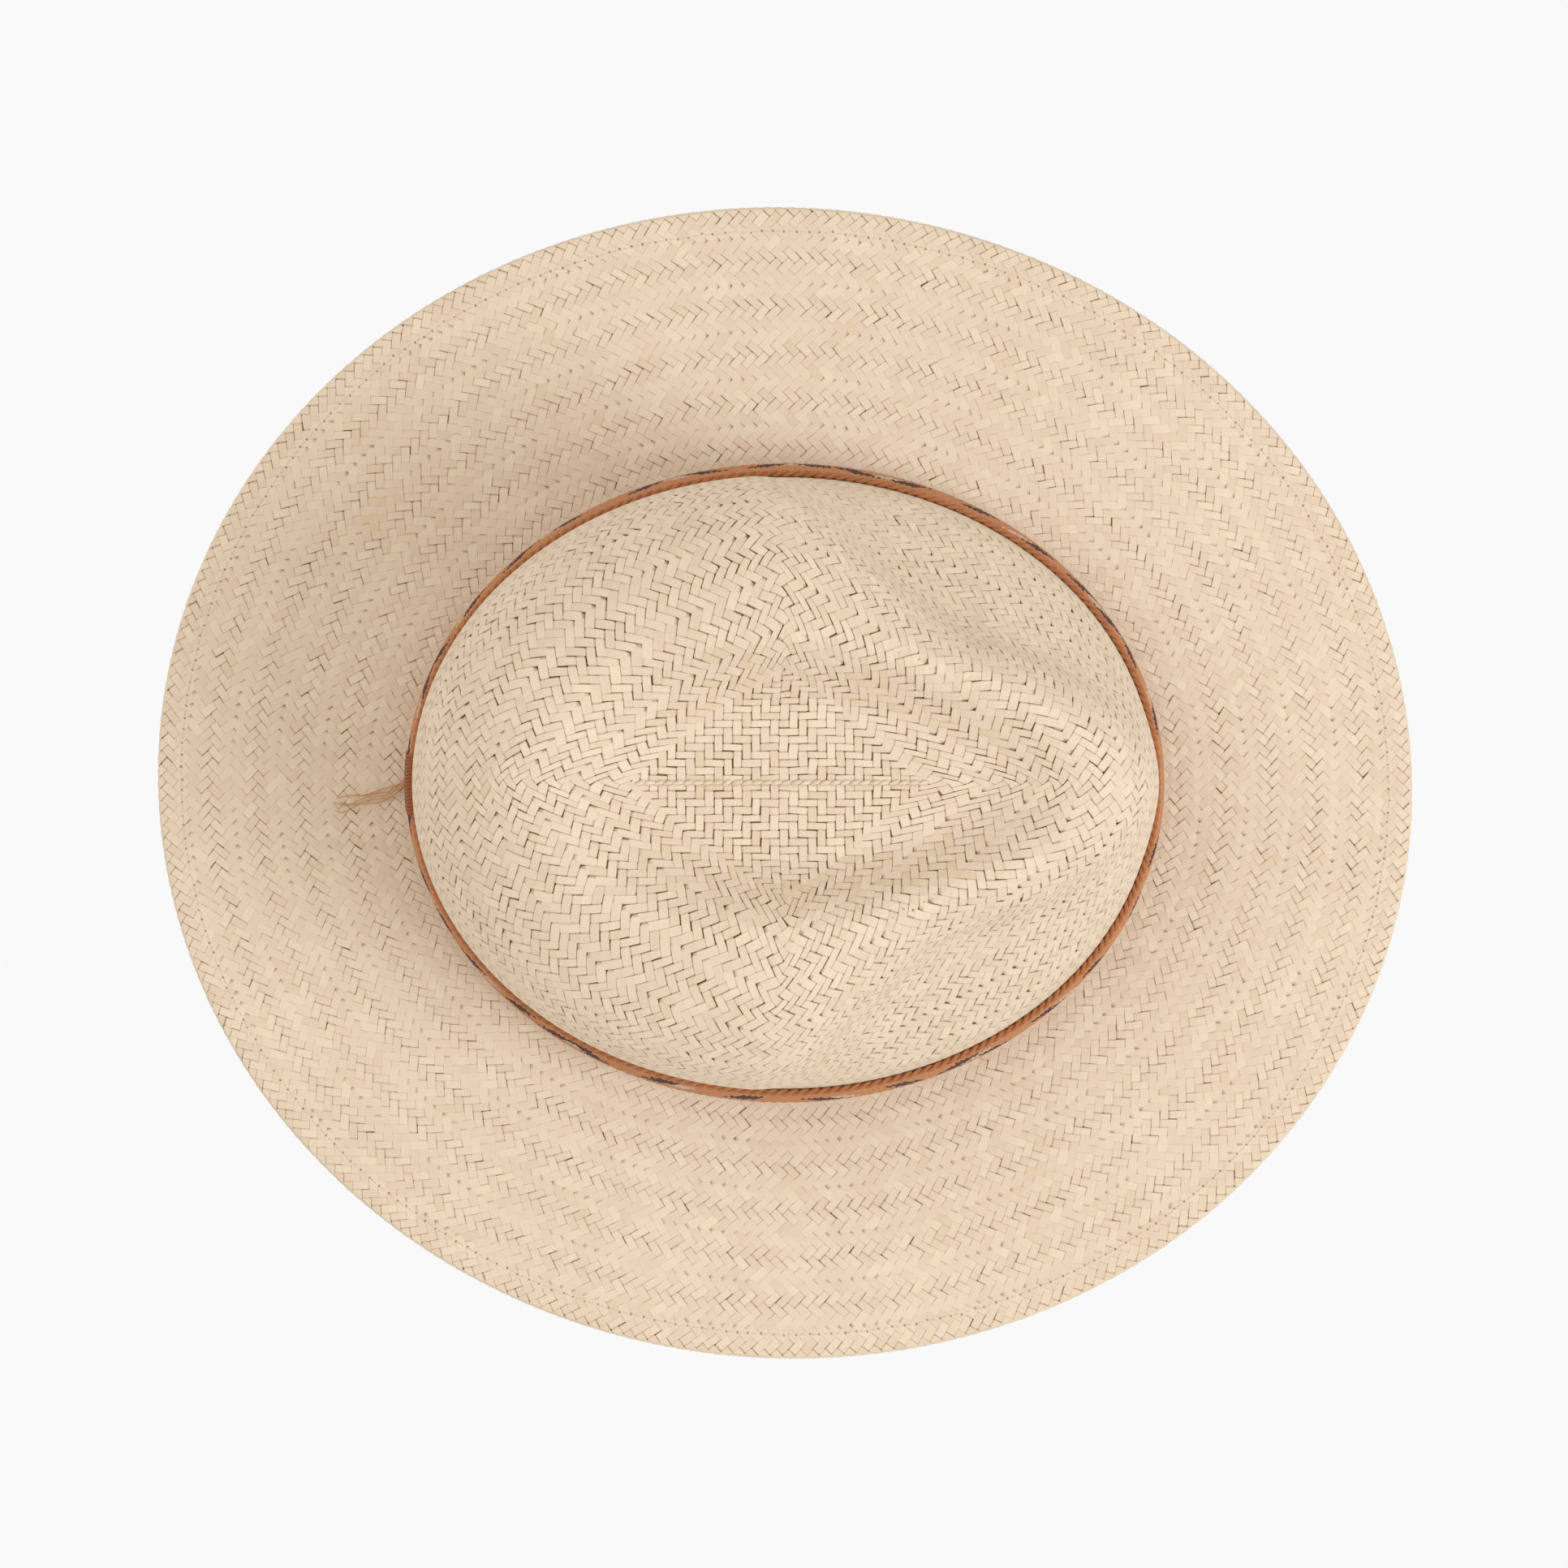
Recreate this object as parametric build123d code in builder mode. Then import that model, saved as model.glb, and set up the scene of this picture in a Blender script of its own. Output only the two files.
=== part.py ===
"""Straw hat with a teardrop crown, a folded hem, a sweatband and a woven band that lifts off.

Millimetres. +X is the front of the hat, +Z is up, and the hat rests on its brim at Z = 0.
The origin is the middle of the oval that the brim covers.
"""

from build123d import *
import os
from math import cos, radians, sin

# Straw
straw_thickness = 1.6
brim_length = 348.0
brim_width = 319.0
brim_turn = -5.0  # degrees; the brim's oval is blocked a little skew to the crown
brim_rise = 5.0  # from the flat hem up to the foot of the crown
hem_width = 9.5
hem_thickness = 1.5
rim_wrap = 2.0  # width of the edge where the straw turns under

# Crown
crown_base_length = 204.6
crown_base_width = 172.0
collar_height = 27.0  # straight lower wall that the band sits on
collar_length_taper = 5.2  # how much shorter the crown is at the collar's top than at its foot
collar_width_taper = 7.6
crown_height = 112.0  # from the underside of the hem to the top of the crown
dome_fullness = 3.8  # exponent of the dome's profile: 2 is an ellipse, more is squarer
crown_lean = 8.0  # how far the top of the dome stands forward of the collar's middle
lean_exponent = 4.0  # more keeps the lean closer to the top
pinch_share = 0.44  # share of the half width that the front pinches take
pinch_height_share = 0.6  # height in the dome where they are deepest
pinch_from = -10.0  # X where the pinches start
pinch_to = 52.0  # X where they are deepest
outline_points = 32
collar_steps = 3
section_shares = (0.2, 0.4, 0.58, 0.74, 0.86, 0.94, 0.985)
brim_overrun = 3.0  # how far the brim's cone runs on inside the crown's wall

# Teardrop dent in the top
dent_back_inset = 36.3  # from the back of the crown's foot to the back of the dent
dent_front_inset = 18.3
dent_half_width = 34.0
dent_depth = 15.0
dent_taper = 0.42  # how much wider the dent is behind its middle, and narrower in front
dent_floor_share = 0.45  # size of the dent's floor as a share of its rim
dent_wall_share = 0.86  # size a little below the crown's top
dent_mouth_share = 1.06  # size the same distance above it
dent_mouth_reach = 4.0
dent_points = 24

# Woven band
band_gap = 0.4  # the band lifts off, so it stands clear of the crown
band_width = 21.0
band_thickness = 1.4
cord_diameter = 2.0
cord_corner = 0.4  # how much is cut off each corner of a cord's section
join_width = 16.0
join_thickness = 1.3
tail_count = 4
tail_length = 19.0
tail_diameter = 0.7
tail_spacing = 2.0
tail_spread = 2.0  # spacing at the tips as a multiple of the spacing at the join
tail_drift = 4.0  # how far the tips stand to the hat's right of the join
tail_lift = 0.6  # clearance of the tails over the brim

# Sweatband
sweatband_width = 30.0
sweatband_thickness = 0.9
sweatband_gap = 0.3
seam_tab_width = 12.0
seam_tab_thickness = 0.5

# Thread
thread_height = 0.35
thread_width = 0.7
hem_stitch_inset = 8.5  # from the brim's edge to the middle of the stitch row
sweatband_stitch_rise = 3.0  # above the sweatband's lower edge

# Heights that follow from the sizes above
brim_top = hem_thickness + straw_thickness
crown_foot = brim_top + brim_rise
collar_top = crown_foot + collar_height
band_foot = crown_foot + band_gap
dome_height = crown_height - collar_top
dent_back = dent_back_inset - crown_base_length / 2
dent_front = crown_base_length / 2 - dent_front_inset


def smooth_step(value, low, high):
    """Rises from 0 at low to 1 at high with level ends."""
    share = min(1.0, max(0.0, (value - low) / (high - low)))
    return share * share * (3 - 2 * share)


def oval_at(height, grow=0.0):
    """Half length and half width of the crown's straight lower wall, grown outwards."""
    share = (height - crown_foot) / collar_height
    length = crown_base_length - collar_length_taper * share
    width = crown_base_width - collar_width_taper * share
    return length / 2 + grow, width / 2 + grow


def crown_section(height, inset):
    """Outline of the crown at a height, for its skin or for a copy inset from it.

    Up to the collar's top it is the collar's oval. Above, the two half axes shrink as a superellipse does,
    the middle leans forward, and a smooth factor narrows the front half, more the higher the section is.
    """
    half_length, half_width = oval_at(min(height, collar_top), -inset)
    share = max(0.0, (height - collar_top) / (dome_height - inset))
    shrink = (1 - share**dome_fullness) ** (1 / dome_fullness)
    middle = crown_lean * share**lean_exponent
    pinch = pinch_share * smooth_step(share, 0.0, pinch_height_share)
    points = []
    for step in range(outline_points):
        angle = radians(360 * step / outline_points - 90)
        x = middle + half_length * shrink * cos(angle)
        narrow = 1 - pinch * smooth_step(x, pinch_from, pinch_to)
        points.append((x, half_width * shrink * sin(angle) * narrow))
    return points


def teardrop(grow, size):
    """Outline of the dent: round at the back and narrowing to the front, grown outwards and scaled."""
    middle = (dent_front + dent_back) / 2
    half_length = ((dent_front - dent_back) / 2) * size + grow
    half_width = dent_half_width * size + grow
    points = []
    for step in range(dent_points):
        angle = radians(360 * step / dent_points + 90)
        taper = 1 - dent_taper * cos(angle)
        points.append((middle + half_length * cos(angle), half_width * sin(angle) * taper))
    return points


def dent_tool(grow):
    """Solid that presses the dent: lofted from its floor up to its rim and above the crown."""
    floor = crown_height - dent_depth - grow
    wall = crown_height - dent_mouth_reach
    mouth = crown_height + dent_mouth_reach
    with BuildPart() as dent:
        for height, size in ((floor, dent_floor_share), (wall, dent_wall_share), (mouth, dent_mouth_share)):
            with BuildSketch(Plane.XY.offset(height)):
                with BuildLine():
                    Spline(*teardrop(grow, size), periodic=True)
                make_face()
        loft()
    return dent.part


def crown_tool(foot, inset):
    """Solid inside the crown's skin, or inside a copy inset from it, from a foot up to the dent."""
    dent = dent_tool(inset)
    collar = [foot + (collar_top - foot) * step / collar_steps for step in range(collar_steps + 1)]
    dome = [collar_top + (dome_height - inset) * share for share in section_shares]
    with BuildPart() as crown:
        for height in collar + dome:
            with BuildSketch(Plane.XY.offset(height)):
                with BuildLine():
                    Spline(*crown_section(height, inset), periodic=True)
                make_face()
        loft()
        add(dent, mode=Mode.SUBTRACT)
    return crown.part


def brim_oval(inset=0.0):
    """Draws the brim's oval, inset from its edge."""
    Ellipse(brim_length / 2 - inset, brim_width / 2 - inset, rotation=brim_turn)


def brim_tool(drop, edge_inset, crown_inset):
    """Solid under the brim's upper face, or under a copy dropped by the straw's thickness.

    Its cone runs on past the crown's wall at the same slope, so that the two cross cleanly.
    """
    run = (brim_length - crown_base_length) / 2 - hem_width
    cone_top = crown_foot + brim_rise / run * (brim_overrun + crown_inset)
    with BuildPart() as brim:
        with BuildSketch(Plane.XY.offset(-drop)):
            brim_oval(edge_inset)
        extrude(amount=brim_top)
        with BuildSketch(Plane.XY.offset(brim_top - drop)):
            brim_oval(hem_width)
        with BuildSketch(Plane.XY.offset(cone_top - drop)):
            Ellipse(*oval_at(crown_foot, -crown_inset - brim_overrun))
        loft(ruled=True)
    return brim.part


def wall_ring(low, high, inner, outer, corner=0.0):
    """Ring between two heights that follows the collar's wall, from one distance off it to another.

    A corner size cuts the four corners of its section at 45 degrees.
    """
    levels = [(low, corner), (high, corner)]
    if corner:
        levels[1:1] = [(low + corner, 0.0), (high - corner, 0.0)]
    with BuildPart() as ring:
        for grow, inward, mode in ((outer, -1, Mode.ADD), (inner, 1, Mode.SUBTRACT)):
            for height, cut in levels:
                with BuildSketch(Plane.XY.offset(height)):
                    Ellipse(*oval_at(height, grow + inward * cut))
            loft(ruled=True, mode=mode)
    return ring.part


def brim_ring(low, high, inner_inset, outer_inset):
    """Flat ring that follows the brim's edge between two insets."""
    with BuildPart() as ring:
        with BuildSketch(Plane.XY.offset(low)):
            brim_oval(outer_inset)
            Ellipse(
                brim_length / 2 - inner_inset,
                brim_width / 2 - inner_inset,
                rotation=brim_turn,
                mode=Mode.SUBTRACT,
            )
        extrude(amount=high - low)
    return ring.part


os.makedirs("parts", exist_ok=True)

# The plaited straw: crown, brim and the edge that turns under
brim_outside = brim_tool(0.0, 0.0, 0.0)
crown_outside = crown_tool(crown_foot - straw_thickness, 0.0)
brim_inside = brim_tool(straw_thickness, rim_wrap, straw_thickness)
crown_inside = crown_tool(-brim_top, straw_thickness)
with BuildPart() as straw_body:
    add(brim_outside)
    add(crown_outside)
    add(brim_inside, mode=Mode.SUBTRACT)
    add(crown_inside, mode=Mode.SUBTRACT)
straw_body.part.label = "straw_body"
export_step(straw_body.part, "parts/straw_body.step")

# The turned-under layer of straw that closes the hem
hem_layer = brim_ring(0.0, hem_thickness, hem_width, rim_wrap)
with BuildPart() as brim_hem:
    add(hem_layer)
brim_hem.part.label = "brim_hem"
export_step(brim_hem.part, "parts/brim_hem.step")

# One thread all round holds the hem down
hem_thread = brim_ring(
    brim_top,
    brim_top + thread_height,
    hem_stitch_inset + thread_width / 2,
    hem_stitch_inset - thread_width / 2,
)
with BuildPart() as hem_stitching:
    add(hem_thread)
hem_stitching.part.label = "hem_stitching"
export_step(hem_stitching.part, "parts/hem_stitching.step")

# Sweatband against the inside of the collar
sweatband_foot = crown_foot - straw_thickness
sweatband_outer = -straw_thickness - sweatband_gap
sweatband_inner = sweatband_outer - sweatband_thickness
sweatband_top = sweatband_foot + sweatband_width
sweatband_wall = wall_ring(sweatband_foot, sweatband_top, sweatband_inner, sweatband_outer)
with BuildPart() as sweatband:
    add(sweatband_wall)
sweatband.part.label = "sweatband"
export_step(sweatband.part, "parts/sweatband.step")

stitch_height = sweatband_foot + sweatband_stitch_rise
stitch_inner = sweatband_inner - thread_height
sweatband_thread = wall_ring(stitch_height, stitch_height + thread_width, stitch_inner, sweatband_inner)
with BuildPart() as sweatband_stitching:
    add(sweatband_thread)
sweatband_stitching.part.label = "sweatband_stitching"
export_step(sweatband_stitching.part, "parts/sweatband_stitching.step")

# Tape over the sweatband's seam at the back, above the stitching
tab_foot = stitch_height + thread_width
tab_wall = wall_ring(tab_foot, sweatband_top, sweatband_inner - seam_tab_thickness, sweatband_inner)
with BuildPart() as sweatband_seam_tab:
    add(tab_wall)
    with BuildSketch(Plane.XY.offset(tab_foot)):
        with Locations((-crown_base_length / 2, 0)):
            Rectangle(crown_base_length / 2, seam_tab_width)
    extrude(amount=sweatband_top - tab_foot, mode=Mode.INTERSECT)
sweatband_seam_tab.part.label = "sweatband_seam_tab"
export_step(sweatband_seam_tab.part, "parts/sweatband_seam_tab.step")

# The woven strap, and the cord along each of its edges
strap_foot = band_foot + cord_diameter
strap_top = band_foot + band_width - cord_diameter
strap_outer = band_gap + band_thickness
strap_wall = wall_ring(strap_foot, strap_top, band_gap, strap_outer)
with BuildPart() as hat_band:
    add(strap_wall)
hat_band.part.label = "hat_band"
export_step(hat_band.part, "parts/hat_band.step")

for name, foot in (("band_lower_cord", band_foot), ("band_upper_cord", strap_top)):
    cord_wall = wall_ring(foot, foot + cord_diameter, band_gap, band_gap + cord_diameter, cord_corner)
    with BuildPart() as band_cord:
        add(cord_wall)
    band_cord.part.label = name
    export_step(band_cord.part, f"parts/{name}.step")

# Whipping that closes the strap at the back
whipping_wall = wall_ring(strap_foot, strap_top, strap_outer, strap_outer + join_thickness)
with BuildPart() as band_join:
    add(whipping_wall)
    with BuildSketch(Plane.XY.offset(strap_foot)):
        with Locations((-crown_base_length / 2, 0)):
            Rectangle(crown_base_length / 2, join_width)
    extrude(amount=strap_top - strap_foot, mode=Mode.INTERSECT)
band_join.part.label = "band_join"
export_step(band_join.part, "parts/band_join.step")

# Loose thread ends that leave the foot of the join and lie back along the brim
tail_root_x = -oval_at(strap_foot, strap_outer + join_thickness)[0]
tail_root_z = strap_foot + tail_diameter
brim_run = brim_length / 2 - hem_width - crown_base_length / 2
tail_tip_x = tail_root_x - tail_length
tail_tip_z = crown_foot - brim_rise * (-tail_tip_x - crown_base_length / 2) / brim_run + tail_lift
with BuildPart() as band_tails:
    for step in range(tail_count):
        root_y = (step - (tail_count - 1) / 2) * tail_spacing
        tip_y = root_y * tail_spread - tail_drift
        with BuildLine() as tail_line:
            Line((tail_root_x, root_y, tail_root_z), (tail_tip_x, tip_y, tail_tip_z + tail_diameter / 2))
        with BuildSketch(tail_line.line ^ 0):
            Circle(tail_diameter / 2)
        sweep(path=tail_line.line)
band_tails.part.label = "band_tails"
export_step(band_tails.part, "parts/band_tails.step")
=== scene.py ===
"""Plaited straw hat with a teardrop crown and a woven band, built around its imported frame.

Every piece is a surface or a repeated shape worked out with numpy from the hat's skin: a grid of points that
runs outwards ring by ring from the middle of the crown, over the dome, down the collar, out along the brim
and round its edge. Ring numbers count rows of the plait, and turns run once round the hat from 0 to 1.
Lengths are metres.
"""

import bpy
import numpy as np
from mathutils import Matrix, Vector


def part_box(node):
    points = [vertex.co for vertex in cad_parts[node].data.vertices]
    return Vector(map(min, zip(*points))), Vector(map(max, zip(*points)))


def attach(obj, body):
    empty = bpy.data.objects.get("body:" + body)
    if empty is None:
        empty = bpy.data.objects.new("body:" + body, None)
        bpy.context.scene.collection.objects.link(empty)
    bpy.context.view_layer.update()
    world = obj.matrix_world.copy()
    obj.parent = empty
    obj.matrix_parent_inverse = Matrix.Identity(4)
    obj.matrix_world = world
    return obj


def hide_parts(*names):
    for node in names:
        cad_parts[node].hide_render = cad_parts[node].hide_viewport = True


bl_info = {
    "name": "Plaited Straw Hat",
    "version": (1, 0, 0),
    "blender": (4, 5, 0),
    "location": "View3D > Sidebar > Straw Hat",
    "description": "Plaits the straw, band, sweatband and threads of a brimmed hat around its packed frame",
    "category": "Object",
}

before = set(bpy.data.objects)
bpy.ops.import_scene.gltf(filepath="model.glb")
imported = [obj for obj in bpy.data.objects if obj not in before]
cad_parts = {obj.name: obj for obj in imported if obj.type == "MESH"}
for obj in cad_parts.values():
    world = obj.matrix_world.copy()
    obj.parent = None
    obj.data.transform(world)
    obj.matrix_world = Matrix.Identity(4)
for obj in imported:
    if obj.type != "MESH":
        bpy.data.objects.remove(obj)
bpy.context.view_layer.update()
HAT_BODY = "hat"
BAND_BODY = "hatband"

# Sizes in the frame that no box gives
STRAP_THICKNESS = 0.0014
STITCH_INSET = 0.0085  # from the brim's edge to the hem's thread
SWEAT_THICKNESS = 0.0009
THREAD_RADIUS = 0.00022
UP = np.array([0.0, 0.0, 1.0])
CORE_DEPTHS = (-0.00045, -0.00115)  # upper and lower face of the sheet between the plaits

# The dent's taper, and the shares of its reach where its floor ends and its rim lies
DENT_TAPER, DENT_FLOOR, DENT_RIM = 0.28, 0.47, 1.03
# The power of the height that the crown's lean follows, and the share of the spread where it is whole
LEAN_POWER, LEAN_WHOLE = 4, 0.62
# How far the dome's top stands back, and over the straw's box before the dent is pressed in
TOP_BACK, TOP_RISE = 0.0015, 0.0012

# Point counts along the dome, the collar, the brim's slope, its flat edge, the curl and the hem
DOME_STEPS, WALL_STEPS, SLOPE_STEPS, FLAT_STEPS, CURL_STEPS, HEM_STEPS = 260, 50, 100, 20, 24, 12


def box_of(node):
    """Low and high corners of a node's box in the frame."""
    return tuple(np.array(corner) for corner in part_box(node))


STRAW_LOW, STRAW_HIGH = box_of("straw_body")
SWEAT_LOW, SWEAT_HIGH = box_of("sweatband")
UPPER_LOW, UPPER_HIGH = box_of("band_upper_cord")
LOWER_LOW, LOWER_HIGH = box_of("band_lower_cord")
HEM_LOW, HEM_HIGH = box_of("brim_hem")
JOIN_LOW, JOIN_HIGH = box_of("band_join")
SEAM_LOW, SEAM_HIGH = box_of("sweatband_seam_tab")
SWEAT_STITCH_LOW, SWEAT_STITCH_HIGH = box_of("sweatband_stitching")


def length(label, default):
    """A length property in metres."""
    return bpy.props.FloatProperty(name=label, default=default, unit="LENGTH")


def angle(label, degrees):
    """An angle property, given in degrees."""
    return bpy.props.FloatProperty(name=label, default=np.radians(degrees), unit="ROTATION")


def count(label, default):
    """A whole number property."""
    return bpy.props.IntProperty(name=label, default=default)


def share(label, default):
    """A plain number property."""
    return bpy.props.FloatProperty(name=label, default=default)


def colour(label, default):
    """A linear colour property."""
    return bpy.props.FloatVectorProperty(name=label, default=default, subtype="COLOR", size=3, min=0.0, max=1.0)


class HatShape(bpy.types.PropertyGroup):
    """Sizes of the blocked shape."""

    straw_thickness: length("Thickness of the plaited straw", 0.0016)
    wall_gap: length("Space between the crown and the band", 0.0004)
    sweat_gap: length("Space between the straw and the sweatband", 0.0003)
    collar_height: length("Height of the straight lower wall", 0.027)
    band_belly: length("How far the band's face swells between its cords", 0.0007)
    hem_width: length("Width of the straw turned under", 0.0095)
    brim_turn: angle("Skew of the brim's oval", -5.0)
    dome_fullness: share("Exponent of the dome's profile; 2 is an ellipse", 3.8)
    crown_lean: length("How far the dome's top stands forward", 0.008)
    pinch_share: share("Share of the half width taken by the front pinches", 0.44)
    pinch_height: share("Share of the dome's height where they are deepest", 0.6)
    pinch_from: length("X where the pinches start", -0.010)
    pinch_to: length("X where the pinches are deepest", 0.052)
    dent_back: length("X of the dent's back end", -0.070)
    dent_front: length("X of the dent's front end", 0.090)
    dent_half_width: length("Largest half width of the dent", 0.038)
    dent_depth: length("Depth of the dent", 0.0180)


class PlaitSettings(bpy.types.PropertyGroup):
    """Sizes of the plait."""

    row_pitch: length("Distance between rows, and between straws in a row", 0.0034)
    crown_rows: count("Rows from the middle to the brim", 48)
    brim_rows: count("Rows across the brim", 22)
    mat_rows: count("Rows in the square-woven middle", 8)
    straw_rise: length("How far a straw stands over those it crosses", 0.00050)
    mat_fill: share("Width of a straw in the mat as a share of its pitch", 0.97)
    crown_fill: share("Width of a straw on the crown as a share of its pitch", 1.04)
    brim_fill: share("Width of a straw on the brim as a share of its pitch", 1.065)
    joint_fill: share("Extra width and length of straws in rows where more join in", 0.15)
    # Strength of the painted shade along the straws' edges on the brim
    brim_edge_shade: share("Shade of the lines between straws on the brim, against 1 on the crown", 0.88)
    mat_long: length("Half diagonal of the middle mat along X", 0.039)
    mat_wide: length("Half diagonal of the middle mat along Y", 0.033)


class HatColours(bpy.types.PropertyGroup):
    """Linear colours of the finishes."""

    straw: colour("Flat straw", (0.81, 0.695, 0.545))
    straw_dark: colour("Darker straws and fibres", (0.66, 0.50, 0.335))
    # Painted shade: the dark lines where straws dip under their neighbours
    straw_edge: colour("Lines between straws", (0.33, 0.205, 0.10))
    # Painted shade: the dark brown of the sheet seen through the gaps between straws, and of the needle holes
    straw_core: colour("Depth between the straws", (0.26, 0.16, 0.075))
    rust: colour("Ground of the band", (0.60, 0.26, 0.105))
    rust_dark: colour("Whipping on the band", (0.30, 0.09, 0.03))
    rust_pale: colour("Face of the band", (0.66, 0.31, 0.14))
    whipping: colour("Thread wound round the join", (0.40, 0.13, 0.045))
    tail: colour("Faded loose thread ends", (0.72, 0.44, 0.22))
    navy: colour("Dark marks on the band", (0.035, 0.040, 0.062))
    cream: colour("Pale marks on the band", (0.72, 0.60, 0.46))
    tape: colour("Sweatband tape", (0.62, 0.50, 0.35))


# Shape of the skin


def smooth(value, low, high):
    """Rises from 0 at low to 1 at high with level ends: 3 t squared less 2 t cubed."""
    t = np.clip((value - low) / (high - low), 0.0, 1.0)
    return t * t * (3 - 2 * t)


def together(*parts):
    """Arrays broadcast to one shape and stacked along a new last axis."""
    return np.stack(np.broadcast_arrays(*parts), axis=-1)


def squared(wave, power):
    """A wave flattened towards a square one: its sign times a power of its size."""
    return np.sign(wave) * np.abs(wave) ** power


def circle(count):
    """Equal angles once round a circle."""
    return np.linspace(0, 2 * np.pi, count, endpoint=False)


def foot_height(shape):
    """Height of the collar's foot, where the brim starts."""
    return SWEAT_LOW[2] + shape.straw_thickness


def foot_half_axes(shape):
    """Half length and half width of the collar's outer face at its foot."""
    return SWEAT_HIGH[:2] + shape.straw_thickness + shape.sweat_gap


def edge_height(shape):
    """Height of the brim's upper face at its edge: the hem and the straw over it."""
    return STRAW_LOW[2] + HEM_HIGH[2] - HEM_LOW[2] + shape.straw_thickness


def wall_at(height, shape):
    """Half length and half width of the collar at a height.

    A straight line runs from the foot, which the sweatband gives, to the upper cord, whose inner side stands
    one gap off the straw.
    """
    foot, base = foot_height(shape), foot_half_axes(shape)
    cord = UPPER_HIGH[2] - UPPER_LOW[2]
    upper = UPPER_HIGH[:2] - cord - shape.wall_gap
    slope = (upper - base) / (UPPER_LOW[2] - foot)
    rise = np.asarray(height)[..., None] - foot
    return base + slope * rise


def round_wall(turn, height, off, shape):
    """Points that follow the collar's wall at a distance off it."""
    half = wall_at(height, shape) + np.asarray(off)[..., None]
    x, y = half[..., 0] * np.cos(2 * np.pi * turn), half[..., 1] * np.sin(2 * np.pi * turn)
    return together(x, y, height)


def turn_behind(y, height, shape):
    """Turn of the point at the back of the collar that stands at a Y and a height."""
    return 0.5 - np.arcsin(y / wall_at(height, shape)[..., 1]) / (2 * np.pi)


def brim_half_axes(shape):
    """Half axes of the brim's oval before its turn, solved from the box of the turned oval."""
    across = np.array([STRAW_HIGH[0], STRAW_HIGH[1]]) ** 2
    c, s = np.cos(shape.brim_turn) ** 2, np.sin(shape.brim_turn) ** 2
    return np.sqrt(np.linalg.solve(np.array([[c, s], [s, c]]), across))


def dent_press(x, y, shape):
    """Share of the dent's depth at a plan point.

    The distance from the middle of a teardrop, measured as a share of its rim, falls smoothly from 1 at its
    floor to 0 at the rim. The teardrop is an ellipse whose width tapers towards the front.
    """
    middle = (shape.dent_front + shape.dent_back) / 2
    half = (shape.dent_front - shape.dent_back) / 2
    along = (x - middle) / half
    width = shape.dent_half_width * (1 - DENT_TAPER * np.clip(along, -1, 1))
    reach = np.sqrt(along**2 + (y / width) ** 2)
    return 1 - smooth(reach, DENT_FLOOR, DENT_RIM)


def dome_points(turn, climb, shape):
    """Points of the dome for a turn round it and a climb from 0 at its top to 1 at the collar.

    The section's half axes and the height follow a superellipse of the climb's angle, the middle leans forward
    with height, a smooth factor narrows the front half, and the dent presses the height down.
    """
    top = foot_height(shape) + shape.collar_height
    angle = climb * np.pi / 2
    spread = np.sin(angle) ** (2 / shape.dome_fullness)
    lift = np.cos(angle) ** (2 / shape.dome_fullness)
    half = wall_at(np.full(1, top), shape)[0]
    middle = (shape.crown_lean * smooth(spread, 0.0, LEAN_WHOLE) - TOP_BACK) * lift**LEAN_POWER
    pinch = shape.pinch_share * smooth(lift, 0.0, shape.pinch_height)
    x = middle + half[0] * spread * np.cos(2 * np.pi * turn)
    narrow = 1 - pinch * smooth(x, shape.pinch_from, shape.pinch_to)
    y = half[1] * spread * np.sin(2 * np.pi * turn) * narrow
    z = top + (STRAW_HIGH[2] + TOP_RISE - top) * lift
    z = z - shape.dent_depth * dent_press(x, y, shape)
    return together(x, y, z)


def brim_points(turn, inset, height, shape):
    """Points of the brim's turned oval at an inset from its edge and a height."""
    half = brim_half_axes(shape) - np.asarray(inset)[..., None]
    angle = 2 * np.pi * turn - shape.brim_turn
    x, y = half[..., 0] * np.cos(angle), half[..., 1] * np.sin(angle)
    c, s = np.cos(shape.brim_turn), np.sin(shape.brim_turn)
    return together(x * c - y * s, x * s + y * c, height)


def meridians(shape, turns):
    """Points along every meridian of the skin in four stretches: dome, collar, brim and the edge's curl."""
    foot = foot_height(shape)
    top = foot + shape.collar_height
    turn = np.linspace(0, 1, turns, endpoint=False)[:, None]
    dome = dome_points(turn, np.linspace(0, 1, DOME_STEPS)[None, :], shape)
    level = np.linspace(top, foot, WALL_STEPS)[None, 1:]
    wall = round_wall(turn, level, 0.0, shape)
    edge = edge_height(shape)
    inner = brim_points(turn, np.full((1, 1), shape.hem_width), edge, shape)
    t = np.linspace(0, 1, SLOPE_STEPS)[None, 1:, None]
    slope = wall[:, -1:] * (1 - t) + inner * t
    radius = edge / 2
    flat = brim_points(turn, np.linspace(shape.hem_width, radius, FLAT_STEPS)[None, 1:], edge, shape)
    curl = np.linspace(0, np.pi, CURL_STEPS)[None, 1:]
    roll = brim_points(turn, radius - radius * np.sin(curl), radius + radius * np.cos(curl), shape)
    under = brim_points(turn, np.linspace(radius, shape.hem_width, HEM_STEPS)[None, 1:], 0.0, shape)
    return [dome, wall, np.concatenate([slope, flat], axis=1), np.concatenate([roll, under], axis=1)]


def resample(table, along, targets):
    """Linear interpolation of every row of a table of points at that row's own distances.

    Adding a large step for each row turns all rows into one rising list, so one call serves them all.
    """
    step = 2 * max(along.max(), targets.max()) + 1
    shift = np.arange(len(table))[:, None] * step
    flat_along, flat_targets = (along + shift).ravel(), (targets + shift).ravel()
    axes = [np.interp(flat_targets, flat_along, table[..., i].ravel()) for i in range(table.shape[-1])]
    return np.stack(axes, axis=-1).reshape(*targets.shape, table.shape[-1])


def path_lengths(points):
    """Distance travelled along each row of points."""
    steps = np.linalg.norm(np.diff(points, axis=1), axis=2)
    return np.concatenate([np.zeros((len(points), 1)), np.cumsum(steps, axis=1)], axis=1)


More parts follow.
